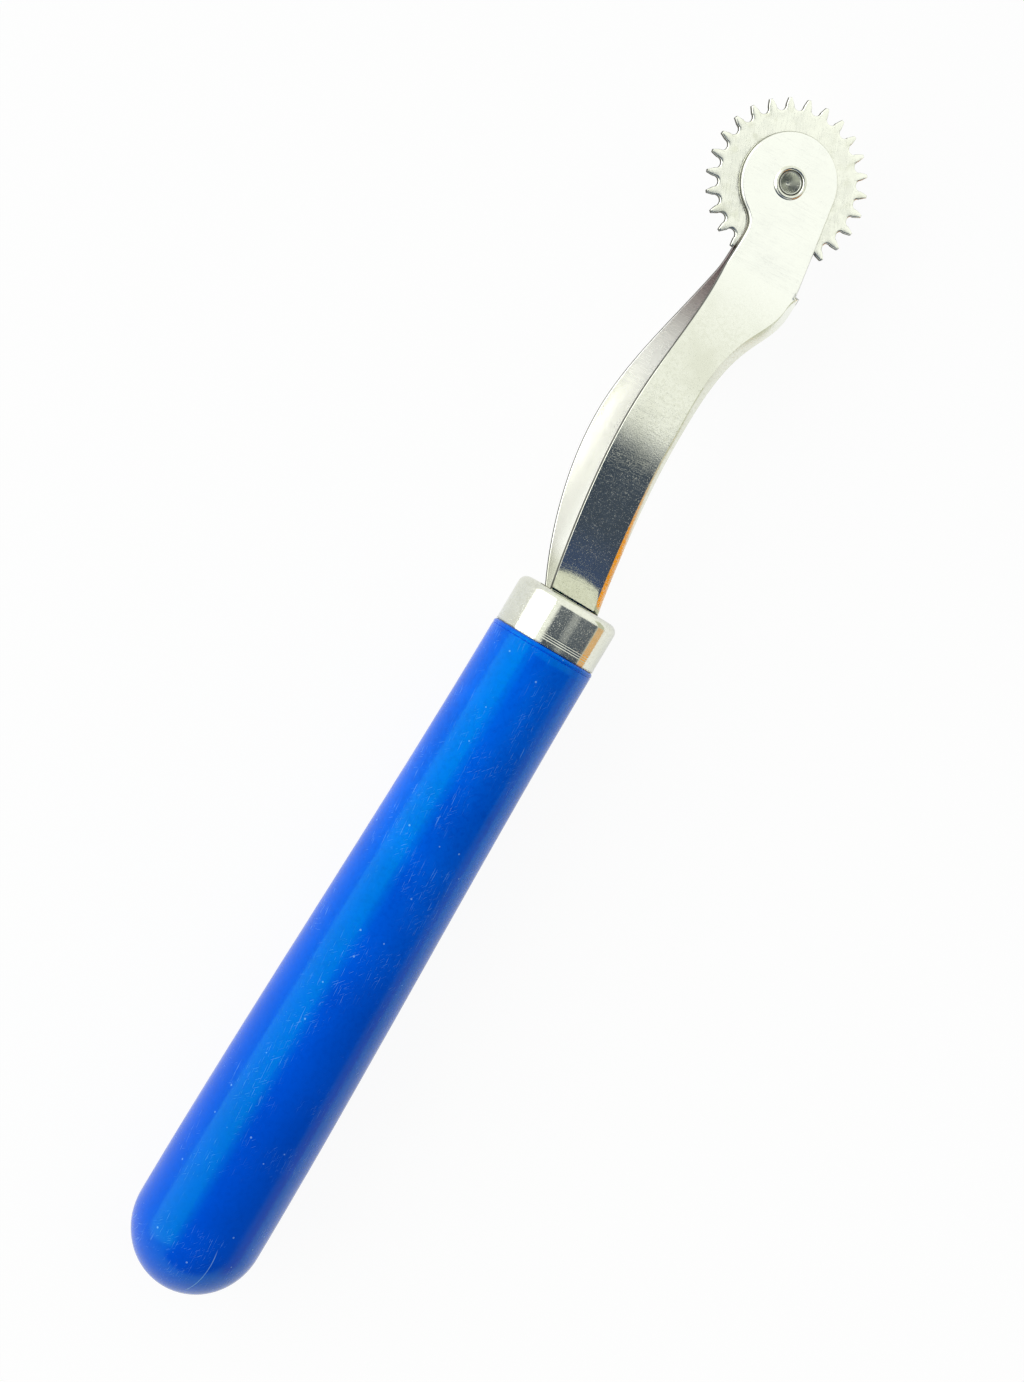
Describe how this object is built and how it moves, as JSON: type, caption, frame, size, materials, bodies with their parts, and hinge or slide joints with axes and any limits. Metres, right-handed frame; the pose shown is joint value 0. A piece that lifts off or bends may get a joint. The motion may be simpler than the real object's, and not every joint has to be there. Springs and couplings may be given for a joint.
{
  "type": "serrated tracing wheel",
  "caption": "Serrated tracing wheel: a blue plastic handle, a nickel-plated ferrule and a bowed steel fork with a toothed wheel that turns.",
  "frame": {"origin": "under the middle of the tool's box, level with the lowest point of the handle, with the wheel's faces level", "axes": "+X from the handle to the wheel, +Z square to the wheel's faces, out of the front leaf"},
  "size_m": [0.1658, 0.022, 0.0168],
  "materials": {
    "handle_plastic": "gloss moulded",
    "nickel_plate": "bright nickel plate",
    "wheel_steel": "satin plated steel"
  },
  "bodies": {
    "frame": {"handle": "handle_plastic", "ferrule": "nickel_plate", "front_leaf": "nickel_plate", "rear_leaf": "nickel_plate", "axle_rivet": "nickel_plate"},
    "wheel": {"tracing_wheel": "wheel_steel"}
  },
  "joints": [
    {"name": "wheel_spin", "type": "hinge", "parent": "frame", "child": "wheel", "pos_m": [0.0727, 0.00086, 0.0084], "axis": [0, 0, 1], "continuous": true}
  ]
}
